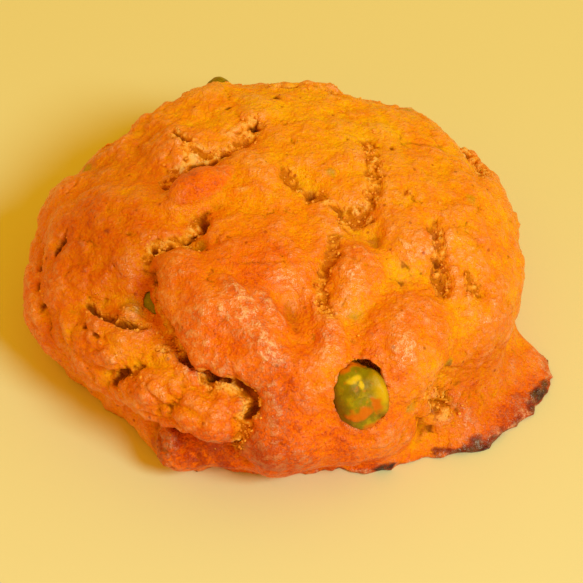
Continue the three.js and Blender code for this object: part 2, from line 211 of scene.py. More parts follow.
# Cracks: half width, depth, how far crumb shows at the sides, how broken up it is and how dark its inside
# is painted, as shade (both 1 if unsaid), and its route over the crust.
cracks = {
    "crumb rift": {"half": 0.6, "depth": 0.9, "crumb": 1.7, "dark": 0.8,
        "route": [(-2.8, 9.6), (-4, 9), (-6, 5), (-9, 3.4), (-11.7, 2), (-14, -0.5), (-16, -1.6)]},
    "rift branch": {"half": 0.45, "depth": 0.6, "crumb": 1.1, "dark": 0.7,
        "route": [(-11.5, 3), (-12, 4.5), (-12.5, 6.8), (-15, 10)]},
    "under the nut": {"half": 0.5, "depth": 0.9, "crumb": 1.2,
        "route": [(-9.4, -6), (-10, -8), (-12.7, -10.5), (-14.8, -12), (-16.5, -12.4), (-18.6, -14.6)]},
    "lip under the nut": {"half": 0.35, "depth": 0.6, "crumb": 0.7,
        "route": [(-13, -11.8), (-11.4, -13), (-9, -13.7)]},
    "main fold top": {"half": 0.7, "depth": 1, "crumb": 1.3, "broken": 0.5, "dark": 0.8,
        "route": [(-18.2, -16), (-18.3, -20.8), (-17.3, -25), (-15.2, -27.4), (-15, -31), (-13.4, -32.6)]},
    "main fold low": {"half": 0.65, "depth": 0.8, "crumb": 1.6, "broken": 0.5, "dark": 0.8,
        "route": [(-13.4, -32.6), (-11.5, -34), (-9.4, -35.3), (-6, -36), (-3.7, -37.5), (-3.1, -39.4),
                  (-4, -42), (-5, -45), (-5.2, -48), (-6.2, -51), (-5.5, -56)]},
    "left crack": {"half": 0.5, "depth": 1, "crumb": 0.8, "broken": 0.6,
        "route": [(-31, -19.5), (-29.5, -20.5), (-28, -22.5), (-26, -24), (-24, -24.7), (-21, -24.3),
                  (-19, -23.5)]},
    "ledge lip": {"half": 0.6, "depth": 1.2, "crumb": 0.6, "broken": 0.3, "dark": 0.9,
        "route": [(-34, -43), (-28, -45.5), (-24, -45), (-20, -46), (-17.5, -48.2), (-14.2, -48.2),
                  (-10.8, -49.2), (-9, -50.8), (-6.7, -50.6)]},
    "lump cleft": {"half": 0.5, "depth": 0.8, "crumb": 0.7,
        "route": [(-21.9, -34), (-25.7, -34.5), (-28.8, -35.5), (-31.5, -37.8)]},
    "left hair": {"half": 0.4, "depth": 0.6, "crumb": 0.5,
        "route": [(-33, -24), (-31.3, -25.3), (-30, -26), (-28.6, -27.8)]},
    "rim crack": {"half": 0.5, "depth": 0.8, "crumb": 0.6,
        "route": [(-30.5, -5.5), (-33.5, -8), (-36, -10)]},
    "rim valley": {"half": 0.8, "depth": 0.7, "crumb": 0.4, "dark": 0.35,
        "route": [(-39.5, -5), (-41.5, -10), (-42, -14), (-43, -19)]},
    "plate edge": {"half": 0.3, "depth": 0.25, "crumb": 1.2, "dark": 0.15,
        "route": [(10, 8), (10, 5.8), (10, 3.8), (10.2, 1.5), (10.2, 0), (10, -2.3), (9.9, -5.3)]},
    "plate edge top": {"half": 0.3, "depth": 0.2, "crumb": 0.4, "dark": 0.15,
        "route": [(13.2, 5.8), (12, 8.5), (9, 13), (8.5, 17)]},
    "crown crack": {"half": 0.4, "depth": 0.4, "crumb": 0.9, "dark": 0.35,
        "route": [(-1, 2), (0, 0), (1.5, -1.4), (2.8, -2.3), (4.6, -3.9), (6.2, -5), (6.9, -7), (8.5, -9)]},
    "crown hair": {"half": 0.35, "depth": 0.3, "crumb": 0.4, "dark": 0.4, "route": [(0.6, 6.5), (0.7, 4)]},
    "tongue fissure": {"half": 0.3, "depth": 0.3, "crumb": 1, "dark": 0.2,
        "route": [(7.2, -8.6), (5.6, -9.5), (5.3, -11.6), (5, -14.4), (4.6, -17.3), (4.8, -20.7),
                  (5.5, -23), (7, -28)]},
    "right fissure": {"half": 0.35, "depth": 0.35, "crumb": 1.1, "dark": 0.25,
        "route": [(19.4, -6.8), (20.5, -10.3), (21, -13.4), (22.1, -15.4), (23, -17.9), (23.6, -21)]},
    "far right crack": {"half": 0.35, "depth": 0.3, "crumb": 0.9, "dark": 0.25,
        "route": [(25.9, -14.7), (28, -15.9), (29.4, -18.2), (32, -19)]},
    "right hair": {"half": 0.35, "depth": 0.3, "crumb": 0.6, "dark": 0.4,
        "route": [(14.2, -2), (15.8, -3.8), (17.7, -4.4)]},
    "kernel hair": {"half": 0.4, "depth": 0.4, "crumb": 0.8, "dark": 0.5,
        "route": [(22.8, -35.8), (25.6, -37.4), (28.5, -39)]},
    "foot crack": {"half": 0.35, "depth": 0.6, "crumb": 0.9, "dark": 0.6,
        "route": [(23.7, -30.2, 12), (24.7, -31, 7.5), (25.2, -31, 5)]},
    "foot hair": {"half": 0.3, "depth": 0.4, "crumb": 0.7, "dark": 0.4,
        "route": [(23.7, -30.2, 12), (27.4, -28.5, 8), (27.3, -30.4, 4.5)]},
    "foot notch": {"half": 0.5, "depth": 1, "crumb": 0.3, "broken": 0.2,
        "route": [(25, -30.8, 4), (24.6, -31.6, 2.6), (24.6, -33, 0.6)]},
    "back crack": {"half": 0.6, "depth": 0.7, "crumb": 0.5, "dark": 0.7,
        "route": [(-15, 35), (-9, 38.5), (-4, 38), (1, 35), (4, 34), (9, 32.4), (13, 30), (20, 31)]},
    "back cleft": {"half": 0.7, "depth": 1.3, "crumb": 1.1, "dark": 0.7,
        "route": [(13, 30), (15, 35), (14, 40), (11, 45), (11, 52)]},
    "right back crack": {"half": 0.7, "depth": 1.2, "crumb": 1.2, "dark": 0.7,
        "route": [(30, 6), (33, 10), (34, 14), (32, 19), (33, 24), (37, 32)]},
    "left back crack": {"half": 0.7, "depth": 1.2, "crumb": 1, "dark": 0.7,
        "route": [(-33, 21), (-32, 25), (-30, 30), (-27, 35), (-27, 42)]},
    "back hair": {"half": 0.4, "depth": 0.7, "crumb": 0.7, "route": [(-4, 24), (0, 22), (4, 23), (8, 21)]},
    "kernel gap": {"half": 0.6, "depth": 1.6, "crumb": 0.1, "broken": 0.3, "route": kernelGap},
    "right low crack": {"half": 0.5, "depth": 0.9, "crumb": 0.7,
        "route": [(43, 2), (45, 8), (43, 14), (46, 20)]},
}

# Where the dough baked as a heap of clots: place, radius, strength
clots = [
    ((-18, -40), 8, 0.75), ((-30, -33), 8, 0.7), ((-10, -46), 5, 0.7), ((-21, -52), 5, 1),
    ((-40, -27), 8, 0.5), ((-30, -13), 7, 0.3), ((-20, 12), 8, 0.35), ((37, -42), 8, 0.8),
    ((-24, 34), 10, 0.5), ((24, 34), 9, 0.4), ((24, -19), 6, 0.3), ((-12, 44), 10, 0.4),
]

# Places where the crust is torn open to the crumb: place, radius, depth
tears = [
    ((-10.4, 4.4), 2.2, 0.3), ((-13.4, 1.6), 1.8, 0.2), ((-22, -24.2), 1.5, 0.2),
    ((-15.4, -13.6), 1.6, 0.2), ((12.4, -31.6), 2.4, 0.2), ((6, -12.6), 1.4, 0.2), ((19.6, -9.6), 1.4, 0.2),
    ((8.5, -5.8), 2.8, 0.5), ((-4.2, 8.6), 1.7, 0.9), ((-17.5, -29), 1.8, 0.3), ((-10, -38.5), 1.8, 0.2),
    ((-6, -43.5), 1.5, 0.3), ((2.4, -2.6), 1.4, 0.5), ((22.2, -16.5), 1.8, 0.3), ((28.8, -17.5), 1.8, 0.2),
    ((26, -38), 1.8, 0.2), ((36, -42), 2.4, 0.2), ((2, 35), 2.6, 0.4), ((-28, 24), 2.4, 0.4),
    ((14, 38), 2.4, 0.4), ((33, 17), 2.4, 0.3),
]

# Small holes, painted dark inside as shade: place, radius, depth
holes = [
    ((-4.2, 8.8), 0.9, 1.3), ((-9, 3.2), 0.7, 1), ((-1.5, 17), 0.8, 0.9), ((-7.5, 14.5), 0.6, 0.7),
    ((13.2, 5.8), 0.7, 0.8), ((-10, -8), 0.9, 1.5), ((-18.2, -17), 1.2, 2), ((21, -13.4), 0.7, 1.1),
    ((2.2, -1.9), 0.8, 0.9), ((-26, -47), 1.4, 2), ((-14.4, -33), 1, 1.6), ((-10.5, -36.2), 0.9, 1.3),
    ((-3.6, -42.4), 0.9, 1.4), ((12.7, -13.2), 0.4, 0.5), ((-5.6, -50), 0.9, 1.4),
]

# Bumps and dents that the solid is too coarse for: place, half sizes, turn in degrees, height, and how they
# end, under 1 with a steep side and over 1 softly. blush is how much redder they baked.
bumps = [
    {"at": (-9.5, -2.2), "half": (6.3, 3.1), "turn": 33, "height": 1.7, "edge": 0.5, "blush": 0.5},
    {"at": (9.3, -1), "half": (1.6, 2.6), "height": 0.6},
    {"at": (12.5, 11.3), "half": (3.6, 2), "turn": -20, "height": 0.7},
    {"at": (-7.3, -21.5), "half": (5, 1.9), "turn": -70, "height": 1},
    {"at": (-3, -25), "half": (5.4, 1.9), "turn": -62, "height": 1.1},
    {"at": (1.2, -24.5), "half": (4.6, 1.6), "turn": -75, "height": -0.5},
    {"at": (7.8, -15.5), "half": (3.4, 3), "height": 0.5},
    {"at": (16, -11.7), "half": (3.2, 3), "height": 0.5},
    {"at": (4.5, -33.5), "half": (3.4, 5), "height": 0.5},
    {"at": (17.8, -29.5), "half": (3, 4.6), "turn": 10, "height": 0.8},
    {"at": (-10.7, -12), "half": (2.4, 1.3), "turn": -25, "height": -0.8},
    {"at": (10.6, -9.6), "half": (2.8, 1.5), "turn": -55, "height": -0.8},
    {"at": (-24.3, -20.3), "half": (4, 2.6), "height": -0.4},
    {"at": (-0.7, -7.8), "half": (3, 2.4), "height": 0.4},
    {"at": (4.6, -48), "half": (4, 2.6), "height": 0.5}, {"at": (-1.5, -50), "half": (3, 3), "height": 0.5},
    {"at": (-17.8, -31), "half": (2.6, 2), "turn": -60, "height": 1.2, "edge": 0.8},
    {"at": (-14.2, -35.8), "half": (3, 2), "turn": -40, "height": 1.3, "edge": 0.8},
    {"at": (-9.4, -38.6), "half": (3, 1.9), "turn": -25, "height": 1.3, "edge": 0.8},
    {"at": (-6.2, -42.5), "half": (2.8, 1.8), "turn": -80, "height": 1.2, "edge": 0.8},
    {"at": (-7.4, -47), "half": (2.6, 1.8), "turn": -80, "height": 1, "edge": 0.8},
    {"at": (-22.5, -21.5), "half": (2.2, 1.8), "turn": 30, "height": 1, "edge": 0.7},
    {"at": (14, 29), "half": (10, 7), "height": -2.4},
    {"at": (-29.5, 17.6), "half": (5, 5), "height": -2.4},
    {"at": (-23.8, 20), "half": (2.8, 3.4), "height": 1.5, "edge": 1},
]

# Colour by place: place, radius, how much browner and redder (yellower below 0), how much darker. On the
# left flank, away from the light, the browner tone and the darkening are painted shade; the darkening at
# the foot is a darker bake.
tones = [
    ((-6, -23), 12, 0.95, 0), ((-1, -43), 12, 0.8, 0), ((13, -52), 13, 0.75, 0),
    ((-10.2, -2.8), 4.6, 0.2, 0), ((-25, -10), 13, 0.55, 0.2), ((-24, -21), 6, 0.15, 0),
    ((17.6, -28), 8, 0.5, 0), ((8, -17), 5, 0.3, 0), ((-32, -31), 9, 0.1, 0), ((-15, -41), 8, -0.1, 0),
    ((-21, -53), 5, 1, 0), ((-10, -55), 6, 0.8, 0), ((-47, -16), 12, 0.5, 0), ((15, 16), 18, -0.4, 0),
    ((27, -2), 16, -0.1, 0), ((-4, 20), 18, -0.45, 0), ((2, 6), 9, -0.15, 0), ((12.5, 11.5), 3.4, -0.6, 0),
    ((9.3, -1), 2.6, -0.6, 0), ((27, -30), 9, -0.15, 0), ((9.8, -23), 3, -0.5, 0),
    ((-19.5, -33), 2.4, -0.4, 0), ((-14, 6), 6, 0.1, 0), ((-26, 8), 9, 0.3, 0.16),
    ((44, -32), 12, 0.65, 0.14), ((30, -37), 5, -0.35, 0), ((27, -45), 5, 0.3, 0),
]

# Where butter gleams on the crust and a painted highlight goes too, or where it is dull and unpainted
# (below 0):
# place or spot, radius, strength
glossAndPaintedHighlights = [
    ((-7, -28.9, 30.1), 2.2, 1.1), ((-6.3, -31.8, 28.1), 2, 0.9), ((-3.7, -29.3, 29.6), 2.4, 1.1),
    ((-1.8, -33.2, 27.9), 2.2, 0.9), ((0.1, -35.7, 26), 2.4, 0.7), ((2, -23.2, 28.5), 1.8, 0.9),
    ((3.7, -24.9, 25.7), 1.8, 0.9), ((12.4, -22.5, 28.2), 1.6, 0.9), ((11.3, -26.9, 26), 2.2, 0.9),
    ((20.3, -33, 24.4), 2, 0.9), ((7.8, -34.7, 24.9), 2.2, 0.5), ((4.9, -40.7, 20.1), 2.2, 0.5),
    ((26.5, -32.3, 6.5), 2, 0.5), ((39.4, -21.2, 4.3), 1.8, 0.5), ((-24.1, -30.5, 19.1), 1.6, 0.5),
    ((-13.8, -36, 20.1), 1.8, 0.5), ((-16.1, -39.9, 8.9), 1.8, 0.5), ((-10, -3.4), 5, -1.2),
    ((-25, -10), 10, -0.5), ((40, -36), 7, -0.3), ((0, -50), 12, -0.5), ((14, -54), 10, -0.4),
    ((14, -10), 9, 0.15), ((-34, -28), 9, -0.2), ((-21, -54), 5, -0.8), ((-10, -57), 5, -0.6),
]

# Spots of nut in the crust, by colour: place, radius, strength
nutSpots = {
    "green": [
        ((4.5, 0.5), 1, 0.5), ((26.5, -1.5), 1.2, 0.4), ((29.5, -32.5), 1.3, 0.6), ((23.5, -41), 1.2, 0.5),
        ((9.6, -23.2), 1.3, 0.4), ((-21.6, -20.4), 2.2, 0.5), ((-10.7, -12), 1.6, 0.4),
        ((20, 24), 1.6, 0.6), ((-33, 12), 1.5, 0.6), ((6, 42), 1.8, 0.6),
    ],
    "skin": [
        ((11.4, -31.4), 0.5, 0.3), ((-24, -8.8), 0.7, 0.8), ((30.2, -32.8), 0.8, 0.6),
        ((20.8, -36.8), 1.2, 0.5), ((-28, 30), 1.3, 0.7),
    ],
    "cream": [
        ((-4.6, -2.4), 0.9, 0.4), ((-12.8, 1.8), 1.4, 0.6), ((-10.2, 4.6), 1.8, 0.5),
        ((12.4, -32), 2.2, 0.4), ((8.6, -5.6), 2.4, 0.5), ((-6.4, 8.4), 1.8, 0.4), ((31, 18), 2.2, 0.5),
    ],
}

# Burnt sugar along the tray and on the chunks at the left: spot, radius, strength
burns = [
    ((45.4, -21.3, 1.8), 1.8, 0.9), ((44.2, -23.4, 1.8), 2, 1), ((42.6, -25.4, 1.4), 1.6, 0.8),
    ((40, -29, 0.8), 1.5, 0.5), ((37.4, -31, 0.8), 1.5, 0.5), ((35.6, -32.8, 0.8), 1.6, 0.7),
    ((33.6, -34.2, 0.8), 2.2, 0.9), ((31.2, -35.4, 0.8), 2.2, 0.85), ((29, -35.8, 0.8), 1.8, 0.7),
    ((26.8, -34.8, 0.8), 1.5, 0.6), ((25, -33.5, 0.8), 1.4, 0.8), ((18, -39.4, 0.6), 2.2, 1.1),
    ((16, -40.8, 0.6), 1.8, 1), ((-18.5, -38.5, 6.5), 4.6, 0.36), ((-10, -41, 6.5), 4.6, 0.33),
    ((-25, -33, 0.6), 2.4, 0.4), ((-32, 20, 0.6), 2.8, 0.5), ((25, 28, 0.6), 3.2, 0.5),
    ((-6, 35, 0.6), 2.8, 0.4),
]


def fineDough():  # small even triangles everywhere but on the flat underside
    piece = copyOfSolid("dough", "crust")
    shape = bmesh.new()
    shape.from_mesh(piece.data)
    low = crust["tableGap"] * mm
    crusty = [edge for edge in shape.edges
              if any(corner.co.z > low for face in edge.link_faces for corner in face.verts)]
    bmesh.ops.subdivide_edges(shape, edges=crusty, cuts=crust["cuts"], use_grid_fill=True)
    bmesh.ops.triangulate(shape, faces=[face for face in shape.faces if len(face.verts) > 3])
    shape.to_mesh(piece.data)
    shape.free()
    spots, _, edges = readMesh(piece.data)
    free = ramp(spots[:, 2], 0.02, 0.5)[:, None]
    writeSpots(piece.data, spots + (smoothOver(spots, edges, crust["rounding"]) - spots) * free)
    return piece


class Relief:  # the fine dough's vertices and what is pressed into them
    def __init__(self, mesh):
        self.spots, self.normals, _ = readMesh(mesh)
        faces = [tuple(face.vertices) for face in mesh.polygons]
        self.tree = BVHTree.FromPolygons([tuple(spot) for spot in self.spots], faces)
        self.wavered = self.spots.copy()
        for size, amount in crust["waver"]:
            pushes = [noiseOver(self.spots, size, seed) for seed in crust["waverSeeds"]]
            self.wavered += amount * np.stack(pushes, axis=1)
        self.height = np.zeros(len(self.spots))
        self.crumb = np.zeros(len(self.spots))
        self.grainy = np.zeros(len(self.spots))
        self.blush = np.zeros(len(self.spots))
        # painted shade: how much darker the crust is painted in cracks, holes, pores, hair cracks and seams
        self.dark = np.zeros(len(self.spots))
        self.edgeFade = ramp(self.spots[:, 2], 0.05, crust["lastEdge"])

    def onCrust(self, place):  # for a place or a spot of three numbers, the nearest spot and the way out
        near = domeSpot(place) / mm if len(place) == 2 else Vector(place)
        spot, normal, _, _ = self.tree.find_nearest(near)
        return np.array(spot), np.array(normal)

    def routeDistance(self, route):
        corners = [self.onCrust(place) for place in route]
        nearest = np.full(len(self.spots), np.inf)
        along = np.zeros(len(self.spots))
        for step, ((start, _), (end, _)) in enumerate(zip(corners, corners[1:])):
            way = end - start
            share = np.clip((self.wavered - start) @ way / (way @ way), 0, 1)
            distance = np.linalg.norm(self.wavered - start - share[:, None] * way, axis=1)
            closer = distance < nearest
            nearest[closer] = distance[closer]
            along[closer] = (step + share[closer]) / (len(corners) - 1)
        return nearest, along

    def placeDistance(self, place, wavered=True):
        spot, _ = self.onCrust(place)
        return np.linalg.norm((self.wavered if wavered else self.spots) - spot, axis=1)

    def cutCracks(self):
        gape = ramp(noiseOver(self.spots, 2.6, 5) + 0.4 * noiseOver(self.spots, 1.1, 6), -0.35, 0.5)
        for crack in cracks.values():
            distance, along = self.routeDistance(crack["route"])
            ends = np.clip(np.minimum(along, 1 - along) * 7 + 0.25, 0, 1)
            opened = 1 - crack.get("broken", 1) * (1 - gape)  # a broken crack is pits with hair between
            width = crack["half"] * (0.45 + 0.95 * opened)
            slot = ramp(-distance / width, -1.4, -0.3)
            self.height -= crack["depth"] * ends * (0.25 + 1.05 * opened) * slot
            # painted shade inside the crack
            self.dark = np.maximum(self.dark, crack.get("dark", 1) * slot * ends * (0.35 + 0.65 * opened))
            self.height += 0.12 * crack["depth"] * ends * bell(distance - 2.3 * width, 1.1 * width)
            torn = ends * bell(distance, 0.7 * crack["half"] + crack["crumb"])
            self.crumb = np.maximum(self.crumb, torn * ramp(crack["crumb"], 0.1, 1.2))
            self.grainy = np.maximum(self.grainy, ends * bell(distance, 1.4 + crack["crumb"]))

    def openTears(self):
        for place, radius, depth in tears:
            distance = self.placeDistance(place)
            self.crumb = np.maximum(self.crumb, 1.15 * bell(distance, radius * 0.85))
            self.grainy = np.maximum(self.grainy, bell(distance, radius * 1.5))
            self.height -= depth * bell(distance, radius * 0.8)

    def pressHoles(self):
        ragged = noiseOver(self.spots, 0.9, 9)
        for place, radius, depth in holes:
            distance = self.placeDistance(place) * (1 + 0.5 * ragged)
            pit = bell(distance, 0.85 * radius)
            self.height -= depth * pit
            # painted shade in the hole
            self.dark = np.maximum(self.dark, pit)

    def raiseBumps(self):
        for bump in bumps:
            spot, normal = self.onCrust(bump["at"])
            turn = math.radians(bump.get("turn", 0))
            nearby, _ = self.onCrust((bump["at"][0] + math.cos(turn), bump["at"][1] + math.sin(turn)))
            longWay = nearby - spot
            longWay -= normal * (longWay @ normal)
            longWay /= np.linalg.norm(longWay)
            sideWay = np.cross(normal, longWay)
            away = self.spots - spot
            long, side = bump["half"]
            inside = 1 - (away @ longWay / long) ** 2 - (away @ sideWay / side) ** 2
            inside -= (away @ normal / (long + side)) ** 2
            self.height += bump["height"] * np.clip(inside, 0, 1) ** bump.get("edge", crust["softEdge"])
            self.blush = np.maximum(self.blush, bump.get("blush", 0) * ramp(inside, -0.1, 0.35))

    def scatterPores(self):  # little holes and hair cracks that any baked crust has
        near, second = cellsOver(self.wavered, crust["poreCell"], 3)
        chosen = ramp(noiseOver(self.spots, 6.5, 21), 0.05, 0.25)
        self.height -= crust["poreDepth"] * bell(near, crust["poreRadius"]) * chosen
        # painted shade in the pores, and below in the hair cracks
        self.dark = np.maximum(self.dark, 0.4 * bell(near, 0.36) * chosen)
        near, second = cellsOver(self.wavered, crust["hairCell"], 11)
        chosen = ramp(noiseOver(self.spots, 5.0, 31), 0.2, 0.4)
        hair = bell(second - near, crust["hairWidth"]) * chosen
        self.height -= crust["hairDepth"] * hair
        self.dark = np.maximum(self.dark, 0.3 * hair)

    def roughen(self):
        calm = 1
        for place, radius, share in crust["calm"]:
            calm = calm - share * bell(self.placeDistance(place), radius)
        for step, (size, amount) in enumerate(crust["lumps"]):
            self.height += amount * calm * noiseOver(self.spots, size, 40 + step)
        self.clotted = np.zeros(len(self.spots))  # where the dough is a heap of clots
        for place, radius, strength in clots:
            self.clotted = np.maximum(self.clotted, strength * bell(self.placeDistance(place), radius))
        large, small = crust["clotSize"]
        near, second = cellsOver(self.wavered, large, 15)
        smallNear, smallSecond = cellsOver(self.wavered, small, 17)
        clot = ramp(second - near, 0.0, 1.3) + 0.35 * ramp(smallSecond - smallNear, 0, 0.6) - 0.95
        self.height += crust["clotHeight"] * self.clotted * clot
        seam = self.clotted * bell(second - near, 0.3) * ramp(noiseOver(self.spots, 2.6, 23), -0.1, 0.3)
        # painted shade along the seams between clots
        self.dark = np.maximum(self.dark, 0.6 * seam)
        turn = np.arctan2(self.spots[:, 1], self.spots[:, 0])  # upright wrinkles round the rim
        rim = bell(self.spots[:, 2] - 6, 6) * ramp(np.hypot(self.spots[:, 0], self.spots[:, 1]), 33, 39)
        unrolled = np.stack([np.cos(turn) * 40, np.sin(turn) * 40, self.spots[:, 2] * 0.3], axis=1)
        self.height += crust["wrinkleHeight"] * rim * noiseOver(unrolled, 3.0, 60)

    def hugKernels(self):  # the dough closes round each kernel, but for the open side of the front one
        gap, _ = self.routeDistance(kernelGap)
        rise, reach = crust["hug"]
        for node in kernelNodes:
            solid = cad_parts[node].data
            corners = [tuple(corner.co / mm) for corner in solid.vertices]
            tree = BVHTree.FromPolygons(corners, [tuple(face.vertices) for face in solid.polygons])
            away = np.array([tree.find_nearest(Vector(spot), 2.0)[3] or 9.0 for spot in self.spots])
            self.height += rise * bell(away, reach) * (1 - bell(gap, 2.6))

    def holdFoot(self):  # nothing swells out over the edge on the tray
        out = np.hypot(self.spots[:, 0], self.spots[:, 1])
        low = ramp(-self.spots[:, 2], -6.0, -2.5) * ramp(out, 38, 42)
        self.height -= low * np.clip(self.height + 0.5, 0, None)

    def breakCrumb(self):
        ragged = self.crumb + 0.3 * noiseOver(self.spots, 1.5, 70) + 0.15 * noiseOver(self.spots, 0.7, 74)
        self.torn = ramp(ragged, 0.36, 0.52)
        heap = -crust["crumbDrop"] + 0.35 * noiseOver(self.spots, 1.1, 78)
        for step, (size, tall) in enumerate(zip(crust["crumbSize"], crust["crumbHeight"])):
            near, _ = cellsOver(self.spots, size, 80 + 10 * step)
            heap += tall * (0.5 - near / size)
        self.height += self.torn * heap
        near, _ = cellsOver(self.spots, crust["grainSize"], 110)
        grains = 0.26 * (0.45 - near / crust["grainSize"])
        self.height += self.grainy * (0.34 * noiseOver(self.spots, 1.0, 112) + grains)

    def finish(self, mesh):
        top = ramp(self.normals[:, 2], -0.9, -0.5)
        moved = self.spots + self.normals * (self.height * self.edgeFade * top)[:, None]
        ragged = np.zeros(len(moved))  # the edge on the tray
        for size, amount, seed in crust["raggedEdge"]:
            ragged += amount * noiseOver(self.spots, size, seed)
        level = self.normals * np.array((1, 1, 0))
        ragged *= (1 - self.edgeFade) * ramp(np.linalg.norm(level, axis=1), 0.1, 0.5)
        moved += level * ragged[:, None]
        moved[:, 2] = np.maximum(moved[:, 2], 0)
        writeSpots(mesh, moved)
        self.moved = moved


def colourFields(relief, mesh):
    moved, _, edges = readMesh(mesh)
    broad = smoothOver(moved, edges, crust["broadForm"])
    fine = smoothOver(moved, edges, crust["fineForm"])
    swell = np.einsum("ij,ij->i", moved - broad, relief.normals)
    grain = np.einsum("ij,ij->i", moved - fine, relief.normals)
    tone = relief.blush.copy()
    shade = np.zeros(len(moved))
    for place, radius, browner, darker in tones:
        near = bell(relief.placeDistance(place, False), radius)
        tone += browner * near
        shade = np.maximum(shade, darker * near)
    # painted shade on the left flank, and a darker bake at the foot
    writeField(mesh, "shade", shade)
    out = np.hypot(moved[:, 0], moved[:, 1])
    tone += 0.5 * bell(moved[:, 2], 2.2) + 0.9 * ramp(out, 43.0, 50.0)  # browner by the tray
    writeField(mesh, "tone", tone + 0.35 * np.clip(swell / 0.5, -1, 1))
    # painted shade in hollows, and in the cracks, holes and seams above
    hollow = np.clip(-swell / 0.9, 0, 1) + np.clip(-grain / 0.3, 0, 1)
    hollow = np.clip(0.32 * hollow * (1 - 0.6 * relief.torn) + relief.dark, 0, 1)
    writeField(mesh, "hollow", hollow * relief.edgeFade)
    writeField(mesh, "crumb", relief.torn)
    glossAndPaintedHighlight = np.zeros(len(moved))
    for place, radius, strength in glossAndPaintedHighlights:
        glossAndPaintedHighlight += strength * bell(relief.placeDistance(place, False), radius)
    # ridges and the places above carry the gloss and the painted highlight
    ridge = np.clip(swell / 0.5, 0, 1) * (1 - relief.torn)
    writeField(mesh, "ridge", np.clip(ridge + glossAndPaintedHighlight, -0.06, 1.6))
    writeField(mesh, "cavity", np.clip(0.5 - grain / 0.5, 0, 1))
    charNoise = noiseOver(moved, 1.5, 130)
    for kind, marks in nutSpots.items():
        field = np.zeros(len(moved))
        for place, radius, strength in marks:
            distance = relief.placeDistance(place) + 0.5 * charNoise
            field = np.maximum(field, strength * ramp(-distance, -1.25 * radius, -0.4 * radius))
        writeField(mesh, kind, field)
    burnt = 0.2 * bell(moved[:, 2], 1.0)
    for spot, radius, strength in burns:
        distance = np.linalg.norm(relief.wavered - np.array(spot), axis=1) + 0.9 * charNoise
        burnt = np.maximum(burnt, strength * ramp(-distance, -radius * 1.3, -radius * 0.5))
    writeField(mesh, "burnt", burnt)


def dressCrust():
    piece = fineDough()
    relief = Relief(piece.data)
    relief.raiseBumps()
    relief.roughen()
    relief.scatterPores()
    relief.cutCracks()
    relief.openTears()
    relief.pressHoles()
    relief.breakCrumb()
    relief.holdFoot()
    relief.hugKernels()
    relief.finish(piece.data)
    colourFields(relief, piece.data)
    for face in piece.data.polygons:
        face.use_smooth = True
    return piece, relief


# Finishes

def newMaterial(name):
    material = bpy.data.materials.new(name)
    material.use_nodes = True
    nodes = material.node_tree.nodes
    return material, nodes, material.node_tree.links, nodes["Principled BSDF"]


def mixColours(nodes, links, share, first, second, blend="MIX"):
    mix = nodes.new("ShaderNodeMix")
    mix.data_type = "RGBA"
    mix.blend_type = blend
    for socket, value in ((mix.inputs[0], share), (mix.inputs[6], first), (mix.inputs[7], second)):
        if hasattr(value, "is_output"):
            links.new(value, socket)
        else:
            socket.default_value = value
    return mix.outputs[2]


def doMaths(nodes, links, operation, first, second=0.0, clamp=False):
    maths = nodes.new("ShaderNodeMath")
    maths.operation = operation
    maths.use_clamp = clamp
    for socket, value in ((maths.inputs[0], first), (maths.inputs[1], second)):
        if hasattr(value, "is_output"):
            links.new(value, socket)
        else:
            socket.default_value = value
    return maths.outputs[0]


def spread(nodes, links, value, low, high, newLow=0.0, newHigh=1.0):
    fit = nodes.new("ShaderNodeMapRange")
    fit.interpolation_type = "SMOOTHSTEP"
    links.new(value, fit.inputs["Value"])
    fit.inputs["From Min"].default_value = low
    fit.inputs["From Max"].default_value = high
    fit.inputs["To Min"].default_value = newLow
    fit.inputs["To Max"].default_value = newHigh
    return fit.outputs["Result"]


def readField(nodes, name):
    field = nodes.new("ShaderNodeAttribute")
    field.attribute_name = name
    return field.outputs["Fac"]


def noiseNode(nodes, links, size, detail=3.0, roughness=0.55):  # size in millimetres
    place = nodes.new("ShaderNodeTexCoord")
    texture = nodes.new("ShaderNodeTexNoise")
    links.new(place.outputs["Object"], texture.inputs["Vector"])
    texture.inputs["Scale"].default_value = 1 / (size * mm)
    texture.inputs["Detail"].default_value = detail
    texture.inputs["Roughness"].default_value = roughness
    return texture.outputs["Fac"]


def cellNode(nodes, links, size):
    place = nodes.new("ShaderNodeTexCoord")
    texture = nodes.new("ShaderNodeTexVoronoi")
    links.new(place.outputs["Object"], texture.inputs["Vector"])
    texture.inputs["Scale"].default_value = 1 / (size * mm)
    return texture.outputs["Distance"]


def rampNode(nodes, links, value, stops):
    band = nodes.new("ShaderNodeValToRGB")
    while len(band.color_ramp.elements) < len(stops):
        band.color_ramp.elements.new(0.5)
    for element, (place, colour) in zip(band.color_ramp.elements, stops):
        element.position = place
        element.color = colour
    links.new(value, band.inputs["Fac"])
    return band.outputs["Color"]


crustColour = {
    "yellow": fromScreen(246, 174, 8), "gold": fromScreen(245, 150, 5), "orange": fromScreen(241, 126, 4),
    "red": fromScreen(234, 98, 4), "brown": fromScreen(188, 58, 3),
    "crumbLitTop": fromScreen(254, 184, 88), "crumb": fromScreen(246, 150, 32),
    "crumbShadedDeep": fromScreen(196, 100, 6), "hollow": fromScreen(128, 50, 0),
    "umber": fromScreen(124, 28, 16), "burnt": fromScreen(58, 14, 22), "speck": fromScreen(150, 42, 6),
    "green": fromScreen(140, 150, 12), "skin": fromScreen(140, 40, 36), "cream": fromScreen(255, 208, 140),
    "paintedHighlight": fromScreen(253, 178, 122), "sheen": (1.0, 0.72, 0.54, 1), "shade": (0.0, 0.0, 0.0, 1),
}

